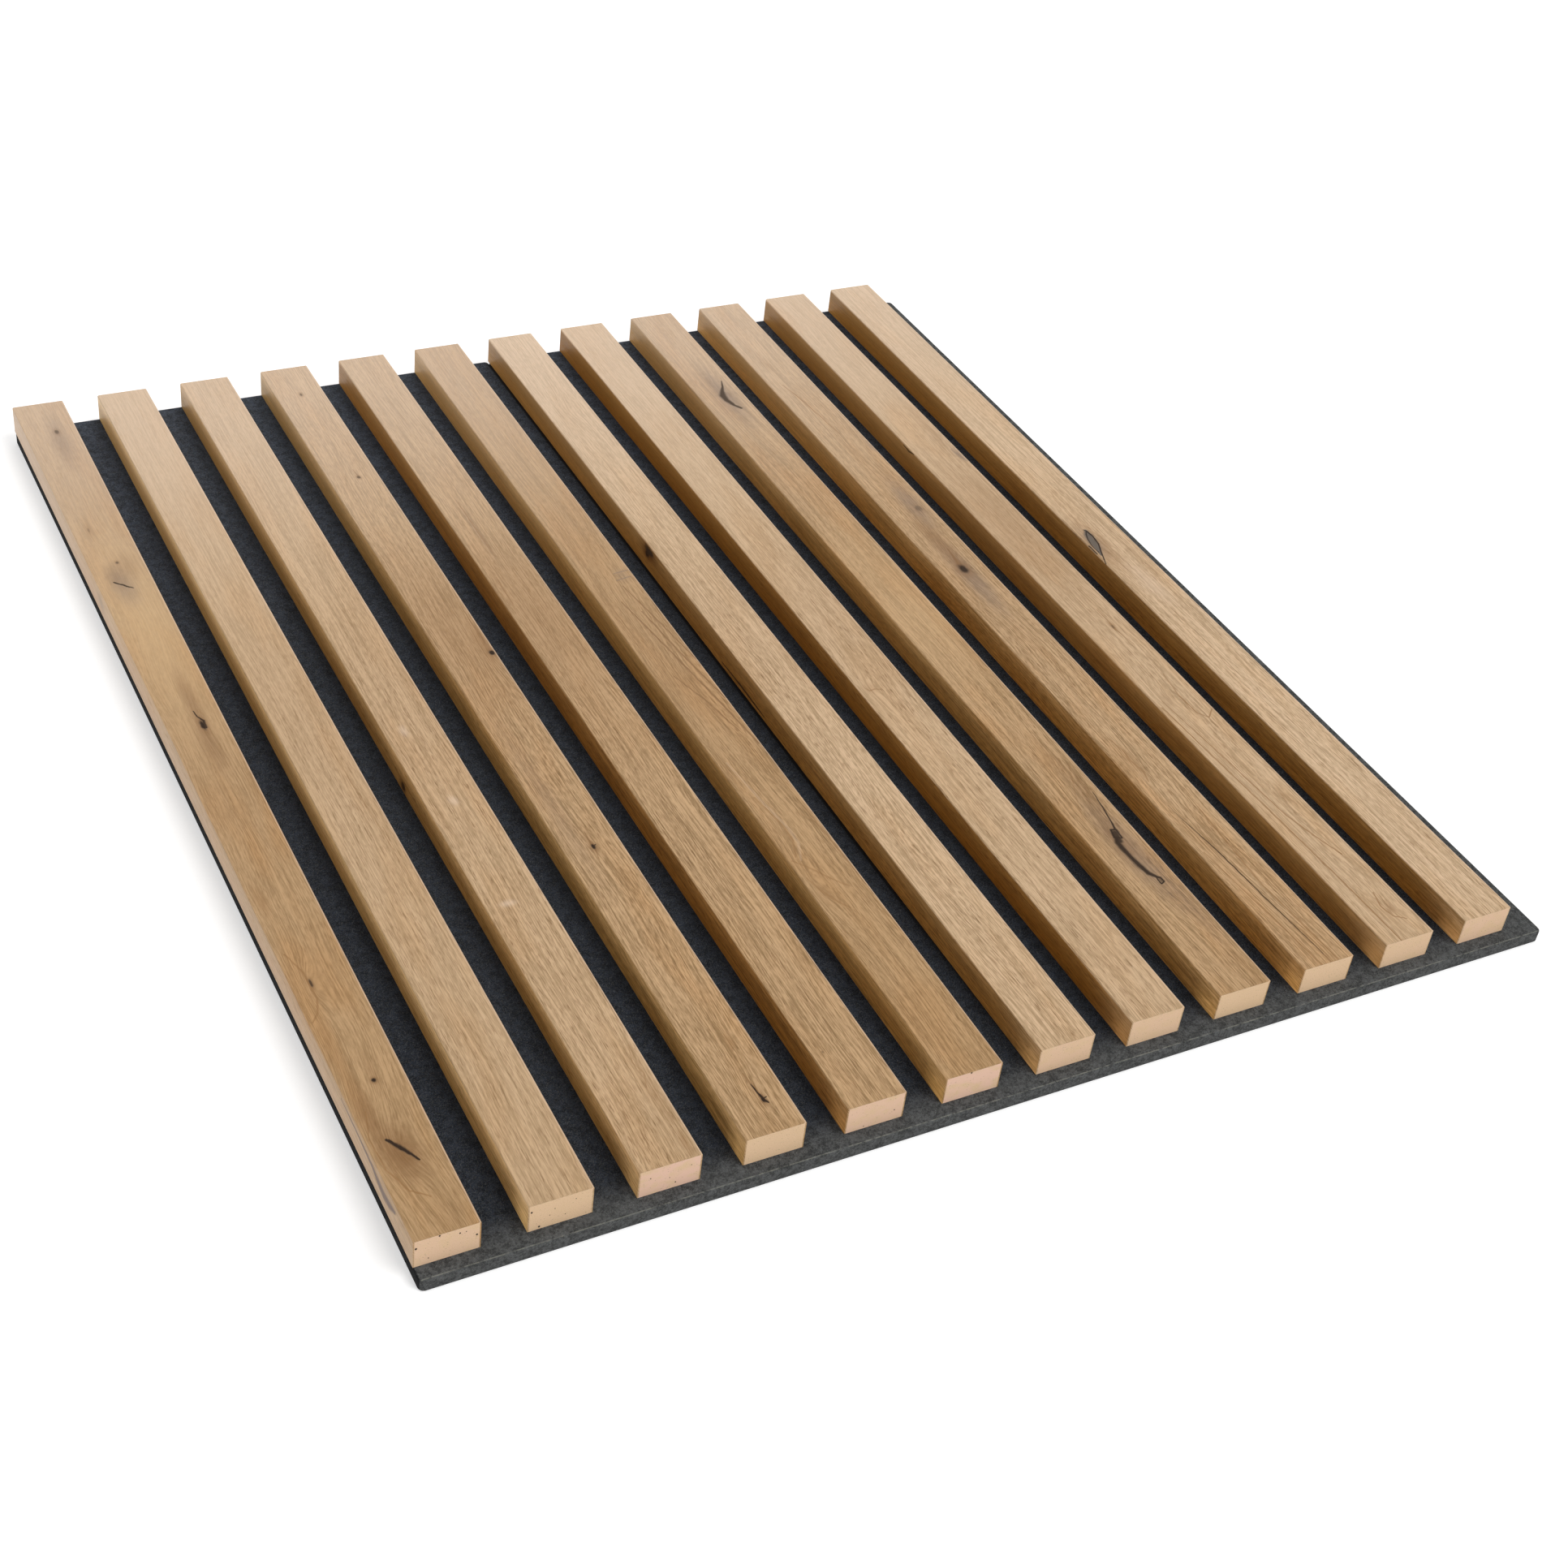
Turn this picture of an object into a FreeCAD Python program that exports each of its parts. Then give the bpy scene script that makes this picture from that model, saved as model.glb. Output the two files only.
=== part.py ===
import FreeCAD, Part
import os
import Sketcher

# Acoustic slat wall panel, lying on its back: X runs across the slats, Y along them to the far end,
# Z up out of the wall. The origin is the middle of the back face.
# Each half is a felt sheet with six slats stapled on from behind; a slat is an MDF core with oak
# veneer folded over its face and both long sides, so the raw core shows at the ends.

slats_per_sheet = 6
staples_per_slat = 4
sheet_sides = ("left", "right")

# Driving dimensions in millimetres.
driving_sizes = {
    "slat_pitch": 50.0,
    "slat_width": 29.4,
    "slat_height": 16.0,
    "slat_length": 680.0,
    "veneer_thickness": 0.6,
    "slat_edge_radius": 0.8,
    "felt_thickness": 7.0,
    "felt_near_lip": 8.0,
    "felt_corner_radius": 3.0,
    "felt_rim_bevel": 0.8,
    "seam_gap": 0.5,
    "staple_crown": 10.0,
    "staple_leg": 14.0,
    "staple_point": 0.8,
    "staple_recess": 0.3,
    "staple_end_margin": 60.0,
    "wire_width": 1.2,
    "wire_thickness": 0.7,
}

doc = FreeCAD.newDocument("acoustic_slat_wall_panel")
sizes = doc.addObject("Spreadsheet::Sheet", "sizes")
for row, (alias, value) in enumerate(driving_sizes.items(), start=1):
    sizes.set(f"A{row}", alias.replace("_", " "))
    sizes.set(f"B{row}", str(value))
    sizes.setAlias(f"B{row}", alias)
doc.recompute()

# Sizes worked out from the sheet, as expressions.
slat_count = slats_per_sheet * len(sheet_sides)
core_width = "(sizes.slat_width - 2 * sizes.veneer_thickness)"
core_height = "(sizes.slat_height - sizes.veneer_thickness)"
sheet_pitch = f"(sizes.slat_pitch * {slats_per_sheet})"
sheet_width = f"({sheet_pitch} - sizes.seam_gap)"
sheet_length = "(sizes.felt_near_lip + sizes.slat_length)"
panel_left = f"(-(sizes.slat_pitch * {slat_count} - sizes.seam_gap) / 2)"
panel_near = f"(-{sheet_length} / 2)"
staple_span = "(sizes.slat_length - 2 * sizes.staple_end_margin)"
staple_left = "(sizes.slat_width - sizes.staple_crown) / 2"
staple_near = "(sizes.staple_end_margin - sizes.wire_width / 2)"
crown_depth = "(sizes.staple_recess + sizes.wire_thickness)"
leg_depth = "(sizes.staple_recess + sizes.staple_leg - sizes.felt_thickness)"


def value_of(expression):
    return float(sizes.evalExpression(expression.replace("sizes.", "")))


def origin_feature(body, role):
    return next(feature for feature in body.Origin.OriginFeatures if feature.Role == role)


def new_body(label, x, y, z):
    body = doc.addObject("PartDesign::Body", label)
    body.Label = label
    for axis, expression in zip("xyz", (x, y, z)):
        body.setExpression(f"Placement.Base.{axis}", expression)
    return body


def new_sketch(body, name, plane_role):
    sketch = body.newObject("Sketcher::SketchObject", name)
    sketch.AttachmentSupport = [(origin_feature(body, plane_role), "")]
    sketch.MapMode = "FlatFace"
    return sketch


def draw_outline(sketch, corners):
    # A closed chain of lines, drawn at the sheet's sizes, whose level and upright lines are held so.
    # Returns the number of its first line.
    points = [FreeCAD.Vector(value_of(x), value_of(y), 0) for x, y in corners]
    first = sketch.GeometryCount
    for start, end in zip(points, points[1:] + points[:1]):
        line = sketch.addGeometry(Part.LineSegment(start, end))
        if start.y == end.y:
            sketch.addConstraint(Sketcher.Constraint("Horizontal", line))
        elif start.x == end.x:
            sketch.addConstraint(Sketcher.Constraint("Vertical", line))
    for number in range(len(points)):
        following = (number + 1) % len(points)
        sketch.addConstraint(Sketcher.Constraint("Coincident", first + number, 2, first + following, 1))
    return first


def dimension(sketch, name, kind, where, expression):
    constraint = sketch.addConstraint(Sketcher.Constraint(kind, *where, value_of(expression)))
    sketch.renameConstraint(constraint, name)
    sketch.setExpression(f"Constraints.{name}", expression)


def draw_rectangle(sketch, name, width, depth, left=None, near=None):
    # A rectangle whose near left corner is the sketch's origin, or left and near of it.
    corner_x, corner_y = left or "0", near or "0"
    first = draw_outline(sketch, [
        (corner_x, corner_y),
        (f"{corner_x} + {width}", corner_y),
        (f"{corner_x} + {width}", f"{corner_y} + {depth}"),
        (corner_x, f"{corner_y} + {depth}"),
    ])
    dimension(sketch, f"{name}_width", "DistanceX", (first, 1, first, 2), width)
    dimension(sketch, f"{name}_depth", "DistanceY", (first + 1, 1, first + 1, 2), depth)
    if left is None:
        sketch.addConstraint(Sketcher.Constraint("Coincident", first, 1, -1, 1))
    else:
        dimension(sketch, f"{name}_left", "DistanceX", (-1, 1, first, 1), left)
        dimension(sketch, f"{name}_near", "DistanceY", (-1, 1, first, 1), near)


def pad(body, sketch, name, length, reverse=False):
    feature = body.newObject("PartDesign::Pad", name)
    feature.Profile = sketch
    feature.setExpression("Length", length)
    feature.Reversed = reverse
    doc.recompute()
    return feature


def pocket_from_back(body, sketch, name, depth):
    feature = body.newObject("PartDesign::Pocket", name)
    feature.Profile = sketch
    feature.setExpression("Length", depth)
    feature.Reversed = True
    doc.recompute()
    return feature


def dress_edges(body, base, name, kind, size_property, edges, size):
    feature = body.newObject(f"PartDesign::{kind}", name)
    feature.Base = (base, edges)
    feature.setExpression(size_property, size)
    doc.recompute()
    return feature


def fillet(body, base, name, edges, radius):
    return dress_edges(body, base, name, "Fillet", "Radius", edges, radius)


def chamfer(body, base, name, edges, size):
    return dress_edges(body, base, name, "Chamfer", "Size", edges, size)


def edges_along_slat(feature, spots):
    # Names of the edges that run along Y through the given places in X and Z.
    names = []
    for number, edge in enumerate(feature.Shape.Edges, start=1):
        box = edge.BoundBox
        for x, z in spots:
            through_x = box.XMin <= value_of(x) + fuzz and box.XMax >= value_of(x) - fuzz
            through_z = box.ZMin <= value_of(z) + fuzz and box.ZMax >= value_of(z) - fuzz
            if box.YLength > box.XLength + box.ZLength and through_x and through_z:
                names.append(f"Edge{number}")
    return names


def edges_at_height(feature, height):
    return [
        f"Edge{number}" for number, edge in enumerate(feature.Shape.Edges, start=1)
        if edge.BoundBox.ZMin > value_of(height) - fuzz
    ]


def edges_upright(feature, spared_x, spared_y):
    # Names of the upright edges, apart from the one at the spared place in X and Y.
    spared = FreeCAD.Vector(value_of(spared_x), value_of(spared_y), 0)
    names = []
    for number, edge in enumerate(feature.Shape.Edges, start=1):
        box = edge.BoundBox
        foot = FreeCAD.Vector(box.XMin, box.YMin, 0)
        if box.ZLength > box.XLength + box.YLength and foot.distanceToPoint(spared) > fuzz:
            names.append(f"Edge{number}")
    return names


def repeat_along_slat(body, originals, name):
    pattern = body.newObject("PartDesign::LinearPattern", name)
    pattern.Originals = originals
    pattern.Direction = (origin_feature(body, "Y_Axis"), [""])
    pattern.Mode = "Extent"
    pattern.setExpression("Length", staple_span)
    pattern.Occurrences = staples_per_slat
    body.Tip = pattern
    return pattern


def repeat_over_sheet(body, originals, name):
    pattern = repeat_along_slat(body, originals, name)
    pattern.Direction2 = (origin_feature(body, "X_Axis"), [""])
    pattern.Mode2 = "Extent"
    pattern.setExpression("Length2", f"sizes.slat_pitch * {slats_per_sheet - 1}")
    pattern.Occurrences2 = slats_per_sheet
    return pattern


def staple_leg_holes(sketch, left, near):
    # Two slits, one for each leg, a crown apart.
    right = f"{left} + sizes.staple_crown - sizes.wire_thickness"
    for name, edge in (("left_leg", left), ("right_leg", right)):
        draw_rectangle(sketch, name, "sizes.wire_thickness", "sizes.wire_width", edge, near)


def make_felt_sheet(side, sheet_left):
    body = new_body(f"{side}_felt_sheet", sheet_left, panel_near, "0")
    outline = new_sketch(body, "outline", "XY_Plane")
    draw_rectangle(outline, "sheet", sheet_width, sheet_length)
    board = pad(body, outline, "board", "sizes.felt_thickness")
    # The near corner at the joint stays square, so that the near edge runs straight on to the other sheet.
    joint_x = sheet_width if side == "left" else "0"
    rounded = edges_upright(board, joint_x, "0")
    corners = fillet(body, board, "corners", rounded, "sizes.felt_corner_radius")
    rim = edges_at_height(corners, "sizes.felt_thickness")
    chamfer(body, corners, "soft_rim", rim, "sizes.felt_rim_bevel")

    near = f"(sizes.felt_near_lip + {staple_near})"
    crown_outline = new_sketch(body, "crown_outline", "XY_Plane")
    draw_rectangle(crown_outline, "crown", "sizes.staple_crown", "sizes.wire_width", staple_left, near)
    crown_groove = pocket_from_back(body, crown_outline, "crown_groove", crown_depth)
    leg_outline = new_sketch(body, "leg_outline", "XY_Plane")
    staple_leg_holes(leg_outline, staple_left, near)
    leg_slits = pocket_from_back(body, leg_outline, "leg_slits", "sizes.felt_thickness")
    repeat_over_sheet(body, [crown_groove, leg_slits], "staple_holes")
    return body


def make_core(number, slat_left):
    body = new_body(
        f"slat_core_{number:02d}",
        f"{slat_left} + sizes.veneer_thickness",
        f"{panel_near} + sizes.felt_near_lip",
        "sizes.felt_thickness",
    )
    section = new_sketch(body, "section", "XZ_Plane")
    draw_rectangle(section, "core", core_width, core_height)
    pad(body, section, "strip", "sizes.slat_length", reverse=True)

    leg_outline = new_sketch(body, "leg_outline", "XY_Plane")
    staple_leg_holes(leg_outline, f"({staple_left} - sizes.veneer_thickness)", staple_near)
    leg_holes = pocket_from_back(body, leg_outline, "leg_holes", leg_depth)
    repeat_along_slat(body, [leg_holes], "staple_holes")
    return body


def make_veneer(number, slat_left):
    body = new_body(
        f"veneer_wrap_{number:02d}",
        slat_left,
        f"{panel_near} + sizes.felt_near_lip",
        "sizes.felt_thickness",
    )
    section = new_sketch(body, "section", "XZ_Plane")
    inner_left = "sizes.veneer_thickness"
    inner_right = "(sizes.slat_width - sizes.veneer_thickness)"
    draw_outline(section, [
        ("0", "0"),
        (inner_left, "0"),
        (inner_left, core_height),
        (inner_right, core_height),
        (inner_right, "0"),
        ("sizes.slat_width", "0"),
        ("sizes.slat_width", "sizes.slat_height"),
        ("0", "sizes.slat_height"),
    ])
    left_foot, inner_side, right_foot, outer_side, face, left_side = 0, 1, 4, 5, 6, 7
    section.addConstraint(Sketcher.Constraint("Coincident", left_foot, 1, -1, 1))
    section.addConstraint(Sketcher.Constraint("Equal", left_side, outer_side))
    dimension(section, "slat_width", "DistanceX", (face, 2, face, 1), "sizes.slat_width")
    dimension(section, "slat_height", "DistanceY", (outer_side, 1, outer_side, 2), "sizes.slat_height")
    dimension(section, "left_wall", "DistanceX", (left_foot, 1, left_foot, 2), "sizes.veneer_thickness")
    dimension(section, "right_wall", "DistanceX", (right_foot, 1, right_foot, 2), "sizes.veneer_thickness")
    dimension(section, "face_wall", "DistanceY", (inner_side, 2, face, 2), "sizes.veneer_thickness")
    fold = pad(body, section, "fold", "sizes.slat_length", reverse=True)

    face_edges = edges_along_slat(
        fold, [("0", "sizes.slat_height"), ("sizes.slat_width", "sizes.slat_height")]
    )
    fillet(body, fold, "eased_edges", face_edges, "sizes.slat_edge_radius")
    return body


def make_staples(side, sheet_left):
    body = new_body(
        f"{side}_sheet_staples",
        f"{sheet_left} + {staple_left}",
        f"{panel_near} + sizes.felt_near_lip + {staple_near}",
        "sizes.staple_recess",
    )
    outline = new_sketch(body, "outline", "XZ_Plane")
    inner_left = "sizes.wire_thickness"
    inner_right = "(sizes.staple_crown - sizes.wire_thickness)"
    inner_tip = "(sizes.staple_leg - sizes.staple_point)"
    draw_outline(outline, [
        ("0", "0"),
        ("sizes.staple_crown", "0"),
        ("sizes.staple_crown", "sizes.staple_leg"),
        (inner_right, inner_tip),
        (inner_right, "sizes.wire_thickness"),
        (inner_left, "sizes.wire_thickness"),
        (inner_left, inner_tip),
        ("0", "sizes.staple_leg"),
    ])
    crown, right_leg, right_inside, underside, left_inside, left_leg = 0, 1, 3, 4, 5, 7
    outline.addConstraint(Sketcher.Constraint("Coincident", crown, 1, -1, 1))
    outline.addConstraint(Sketcher.Constraint("Equal", left_leg, right_leg))
    outline.addConstraint(Sketcher.Constraint("Equal", left_inside, right_inside))
    dimension(outline, "crown", "DistanceX", (crown, 1, crown, 2), "sizes.staple_crown")
    dimension(outline, "leg", "DistanceY", (right_leg, 1, right_leg, 2), "sizes.staple_leg")
    dimension(outline, "point", "DistanceY", (right_inside, 1, right_leg, 2), "sizes.staple_point")
    dimension(outline, "crown_wire", "DistanceY", (crown, 1, underside, 1), "sizes.wire_thickness")
    dimension(outline, "left_wire", "DistanceX", (crown, 1, underside, 2), "sizes.wire_thickness")
    dimension(outline, "right_wire", "DistanceX", (underside, 1, crown, 2), "sizes.wire_thickness")
    wire = pad(body, outline, "wire", "sizes.wire_width", reverse=True)
    repeat_over_sheet(body, [wire], "staple_rows")
    return body


fuzz = 0.01
sub_parts = []
for sheet, side in enumerate(sheet_sides):
    sheet_left = f"({panel_left} + {sheet} * {sheet_pitch})"
    sub_parts.append(make_felt_sheet(side, sheet_left))
    sub_parts.append(make_staples(side, sheet_left))
    for place in range(slats_per_sheet):
        number = sheet * slats_per_sheet + place + 1
        slat_left = f"({sheet_left} + {place} * sizes.slat_pitch)"
        sub_parts.append(make_core(number, slat_left))
        sub_parts.append(make_veneer(number, slat_left))
doc.recompute()

for item in doc.Objects:
    if {"Invalid", "Error"} & set(item.State):
        raise RuntimeError(f"{item.Name} failed: {item.State}")
for body in sub_parts:
    if body.Shape.isNull() or not body.Shape.isValid():
        raise RuntimeError(f"{body.Label} has no valid shape")

os.makedirs("parts", exist_ok=True)
for body in sub_parts:
    body.Shape.exportStep(f"parts/{body.Label}.step")
    print(body.Label, len(body.Shape.Solids), "solids", round(body.Shape.Volume, 2), "mm3")
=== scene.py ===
import math

import bmesh
import bpy
from mathutils import Matrix, Vector


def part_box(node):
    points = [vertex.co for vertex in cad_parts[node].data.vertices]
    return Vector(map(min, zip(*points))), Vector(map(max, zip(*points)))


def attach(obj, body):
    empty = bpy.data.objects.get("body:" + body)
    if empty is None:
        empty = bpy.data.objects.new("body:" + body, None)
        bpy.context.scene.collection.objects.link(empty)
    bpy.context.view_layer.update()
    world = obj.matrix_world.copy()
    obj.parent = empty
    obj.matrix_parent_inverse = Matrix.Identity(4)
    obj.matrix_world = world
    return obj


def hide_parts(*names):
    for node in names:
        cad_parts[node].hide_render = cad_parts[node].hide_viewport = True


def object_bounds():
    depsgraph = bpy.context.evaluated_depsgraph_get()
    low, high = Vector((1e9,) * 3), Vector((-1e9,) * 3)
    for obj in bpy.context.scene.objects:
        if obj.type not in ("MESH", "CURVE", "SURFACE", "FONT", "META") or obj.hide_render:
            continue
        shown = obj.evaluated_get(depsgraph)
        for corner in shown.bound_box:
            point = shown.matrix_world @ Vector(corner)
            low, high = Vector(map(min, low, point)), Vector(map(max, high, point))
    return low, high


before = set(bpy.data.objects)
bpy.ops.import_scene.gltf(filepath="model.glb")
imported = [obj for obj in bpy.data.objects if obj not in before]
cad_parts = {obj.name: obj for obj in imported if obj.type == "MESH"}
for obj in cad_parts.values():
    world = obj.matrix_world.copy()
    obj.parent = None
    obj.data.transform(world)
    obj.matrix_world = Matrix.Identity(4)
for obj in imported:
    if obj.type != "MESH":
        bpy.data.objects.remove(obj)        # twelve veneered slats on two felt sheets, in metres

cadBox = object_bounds()
mm = 0.001
slatCount = sum(name.startswith("veneer_wrap_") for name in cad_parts)
sheetSides = ("left", "right")
print("frame loaded:", slatCount, "slats on", len(sheetSides), "felt sheets")


def screenColour(red, green, blue):
    # a colour as a screen shows it, 0 to 255, turned into the linear colour that a shader takes
    def linear(level):
        share = level / 255
        return share / 12.92 if share <= 0.04045 else ((share + 0.055) / 1.055) ** 2.4
    return (linear(red), linear(green), linear(blue), 1)


def findSocket(sockets, key):
    if isinstance(key, int):
        return sockets[key]
    return next(socket for socket in sockets if key in (socket.identifier, socket.name))


class Tap:
    # one socket of a material, used in sums like a number

    def __init__(self, tree, socket=None):
        self.tree = tree
        self.socket = socket

    def node(self, kind, settings, values, output=0):
        made = self.tree.nodes.new("ShaderNode" + kind)
        for name, setting in settings.items():
            setattr(made, name, setting)
        for key, value in values.items():
            self.plug(value, findSocket(made.inputs, key))
        return Tap(self.tree, findSocket(made.outputs, output))

    def plug(self, value, socket):
        # links a tap to the socket, or sets a constant on it
        if isinstance(value, Tap):
            self.tree.links.new(value.socket, socket)
        else:
            socket.default_value = value

    def maths(self, operation, *terms):
        return self.node("Math", {"operation": operation}, dict(enumerate(terms)))

    def __add__(self, other):
        return self.maths("ADD", self, other)

    __radd__ = __add__

    def __sub__(self, other):
        return self.maths("SUBTRACT", self, other)

    def __rsub__(self, other):
        return self.maths("SUBTRACT", other, self)

    def __mul__(self, other):
        return self.maths("MULTIPLY", self, other)

    __rmul__ = __mul__

    def __truediv__(self, other):
        return self.maths("DIVIDE", self, other)

    def __rtruediv__(self, other):
        return self.maths("DIVIDE", other, self)

    def __pow__(self, other):
        return self.maths("POWER", self, other)

    def __abs__(self):
        return self.maths("ABSOLUTE", self)

    def sign(self):
        return self.maths("SIGN", self)

    def largest(self, other):
        return self.maths("MAXIMUM", self, other)

    def smallest(self, other):
        return self.maths("MINIMUM", self, other)

    def rise(self, low, high):
        # 0 up to low, 1 from high on, smooth between
        settings = {"interpolation_type": "SMOOTHSTEP"}
        return self.node("MapRange", settings, {"Value": self, "From Min": low, "From Max": high})

    def fall(self, low, high):
        # 1 up to low, 0 from high on
        settings = {"interpolation_type": "SMOOTHSTEP"}
        values = {"Value": self, "From Min": low, "From Max": high, "To Min": 1, "To Max": 0}
        return self.node("MapRange", settings, values)

    def blend(self, under, over, mode="MIX"):
        # lays a colour over another, this tap being the share of the upper one
        settings = {"data_type": "RGBA", "blend_type": mode}
        values = {"Factor_Float": self, "A_Color": under, "B_Color": over}
        return self.node("Mix", settings, values, "Result_Color")

    def vector(self, operation, *terms, output=0):
        return self.node("VectorMath", {"operation": operation}, dict(enumerate(terms)), output)

    def scaled(self, factor):
        # a vector or a colour times a number
        return self.node("VectorMath", {"operation": "SCALE"}, {0: self, "Scale": factor})


def newMaterial(name):
    material = bpy.data.materials.new(name)
    material.use_nodes = True
    shader = material.node_tree.nodes["Principled BSDF"]
    return material, Tap(material.node_tree), shader


def feed(start, shader, **values):
    # taps and constants go to the shader's sockets of the same name, such as Base_Color to Base Color
    for name, value in values.items():
        start.plug(value, shader.inputs[name.replace("_", " ")])


def bumpFrom(start, height, strength, depth):
    return start.node("Bump", {}, {"Height": height, "Strength": strength, "Distance": depth})


def addObject(name, data):
    holder = bpy.data.objects.new(name, data)
    bpy.context.scene.collection.objects.link(holder)
    return holder


def placeInMillimetres(start):
    return start.node("TexCoord", {}, {}, "Object").scaled(1 / mm)


def parts(vector):
    split = vector.node("SeparateXYZ", {}, {"Vector": vector})
    outputs = split.socket.node.outputs
    return [Tap(vector.tree, output) for output in outputs]


def clouds(first, second, third=0.0, detail=2.0):
    # soft noise about 0.5 whose patches are about one unit across
    spot = first.node("CombineXYZ", {}, {"X": first, "Y": second, "Z": third})
    return first.node("TexNoise", {}, {"Vector": spot, "Scale": 1.0, "Detail": detail})


# Oak veneer. Every slat is its own leaf, with its own tone, figure and faults.
# Places are in millimetres: across from the face's left edge, along from the near end.
# Below zero across is down the left side, because the leaf is folded over the edge.
oak = {
    "deepWood": screenColour(169, 135, 94),
    "paleWood": screenColour(199, 170, 136),
    "heavyStreak": (0.63, 0.60, 0.51),       # times the leaf's own colour
    "lightStreak": (1.28, 1.31, 1.40),
    "poreTint": (0.55, 0.48, 0.40, 1),
    "warmCast": (0.96, 0.80, 0.58, 1),
    "footShadeTints": ((1.0, 0.92, 0.56), (1.0, 0.63, 0.17)),     # painted shade and warm bounced light, mild and warm, low on a side in a groove
    "browShadeTints": ((1.0, 0.98, 0.80), (1.0, 0.70, 0.29)),     # and just under the face
    "late": screenColour(138, 99, 56),         # the darker wood that closes a year's ring
    "honey": screenColour(205, 171, 126),
    # pale marks in the wood, and also the painted highlight on the right edges and the painted light on
    # slat 1's outer left side
    "paleMarkAndHighlight": screenColour(222, 196, 172),
    "brown": screenColour(124, 88, 50),
    "grey": screenColour(122, 103, 88),
    "plum": screenColour(84, 63, 57),
    "stone": screenColour(84, 76, 68),
    "dark": screenColour(33, 22, 15),
    # painted sheen, laid over the far end of every leaf
    "farSheenColour": screenColour(208, 187, 168),
    "noises": {              # width and length of a patch, seed, detail
        "drift": (45.0, 190.0, 0.0, 2.0),
        "ripple": (14.0, 55.0, 2.1, 2.0),
        "band": (2.7, 420.0, 4.3, 3.0),
        "line": (0.68, 40.0, 6.7, 2.0),
        "fleck": (0.62, 5.0, 15.1, 2.0),
        "pore": (0.45, 7.0, 8.9, 1.0),
        "patch": (17.0, 80.0, 11.3, 2.0),
        "wobble": (2.2, 4.5, 13.7, 3.0),
    },
    "seedStep": 7.31,         # from one leaf to the next
    "rippleHeight": 1.3,
    "streakShares": (0.55, 0.1, 0.35),       # of line, band and fleck
    "streakRamp": (0.37, 0.63),
    "poreRamp": (0.55, 0.64),
    "poreBand": (0.4, 0.7),       # fewer pores where the band noise is high
    "patchRamp": (0.42, 0.72),
    "calmRamp": (240.0, 580.0),       # along the slat, where the grain fades
    "calm": 0.28,
    "dimPlace": 340.0,        # the wood is a little darker about here
    "dimReach": 150.0,
    "dim": 0.12,
    "farSheenRamp": (400.0, 680.0),     # and a painted sheen pales it towards the far end
    "farSheen": 0.34,
    "wobble": 1.1,            # how far the rim of a mark wanders
    "stainWobble": 0.5,
    "knotWobble": 0.7,
    "lineWobble": 0.7,
    "stainRim": (0.0, 1.25),          # where a mark starts and stops fading, 1 being its rim
    "knotRim": (0.5, 1.35),
    "haloRim": (0.9, 2.6),
    "lineRim": (0.4, 1.5),
    "haloShare": 0.55,
    "arrisHighlight": 0.45,
    "arrisInset": 0.3,        # from the face's right edge
    "arrisRim": (0.2, 0.8),
    "sideRamp": (0.2, 1.6),           # below the face
    "shadeTintRamp": (1.0, 14.0),
    "endRamp": (0.05, 0.4),           # from the cut ends, whose rim keeps the face's colour
    "nearReach": 40.0,        # the painted groove shade is weaker up to here, where light reaches in at the near end
    "nearShare": 0.7,
    "foldRamp": (0.0, 1.0),           # across, parts the left side from the rest
    "poreBump": 0.7,
    "lineBump": 0.25,
    "lineBumpRamp": (0.3, 0.55),
    "bumpStrength": 0.5,
    "poreDepth": 0.1 * mm,
    "roughness": 0.42,
    "poreRoughness": 0.2,
    "specular": 0.25,
}
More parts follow.
